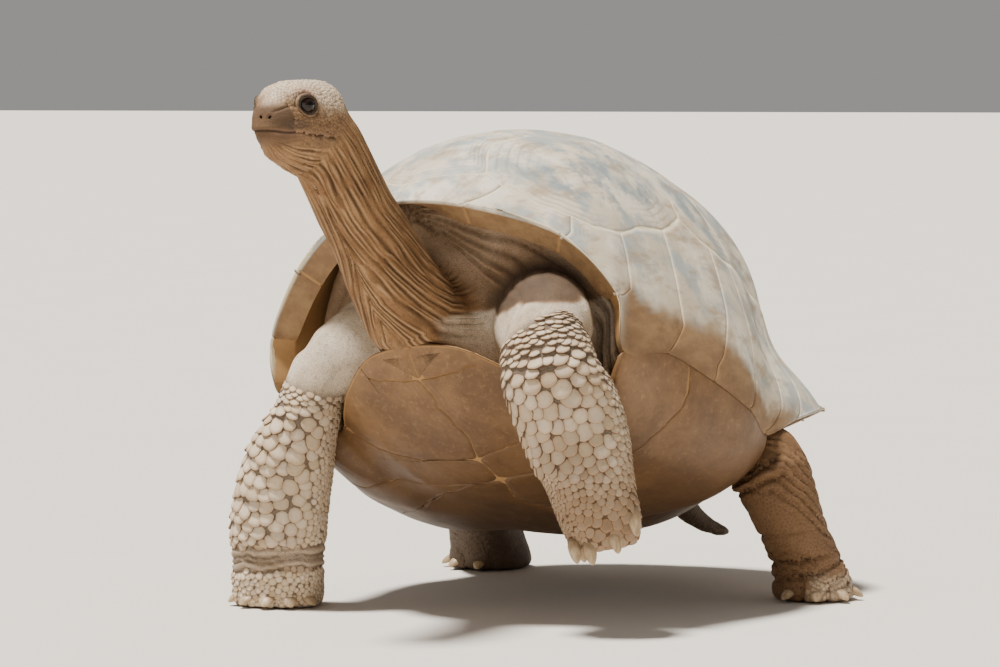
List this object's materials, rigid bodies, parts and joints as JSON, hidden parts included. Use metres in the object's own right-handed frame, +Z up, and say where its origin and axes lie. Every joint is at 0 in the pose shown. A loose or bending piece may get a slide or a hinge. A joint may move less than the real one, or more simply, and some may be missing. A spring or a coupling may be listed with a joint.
{
  "type": "giant tortoise model",
  "caption": "Life-size still model of a giant tortoise walking with a raised neck and a lifted foreleg, with a high domed shell, scaly column legs and blunt claws.",
  "frame": {"origin": "on the floor, under the middle of the model's box", "axes": "+Z up, head towards -Y, the animal's left side towards +X"},
  "size_m": [0.8596, 1.276, 0.8493],
  "materials": {
    "shell": "dry, dusty horn",
    "belly_shell": "worn, smooth horn",
    "skin": "dry, folded and scaly",
    "eye": "wet gloss",
    "claw": "worn horn"
  },
  "bodies": {
    "root": {"carapace": "shell", "plastron": "belly_shell", "trunk": "skin", "neck": "skin", "head": "skin", "eye_left": "eye", "eye_right": "eye", "foreleg_right_upper": "skin", "foreleg_right_lower": "skin", "foreleg_left_upper": "skin", "foreleg_left_lower": "skin", "hindleg_left_upper": "skin", "hindleg_left_lower": "skin", "hindleg_right_upper": "skin", "hindleg_right_lower": "skin", "tail": "skin", "claw_foreleg_right_1": "claw", "claw_foreleg_right_2": "claw", "claw_foreleg_right_3": "claw", "claw_foreleg_right_4": "claw", "claw_foreleg_right_5": "claw", "claw_foreleg_left_1": "claw", "claw_foreleg_left_2": "claw", "claw_foreleg_left_3": "claw", "claw_foreleg_left_4": "claw", "claw_foreleg_left_5": "claw", "claw_hindleg_left_1": "claw", "claw_hindleg_left_2": "claw", "claw_hindleg_left_3": "claw", "claw_hindleg_left_4": "claw", "claw_hindleg_right_1": "claw", "claw_hindleg_right_2": "claw", "claw_hindleg_right_3": "claw", "claw_hindleg_right_4": "claw"}
  },
  "joints": []
}
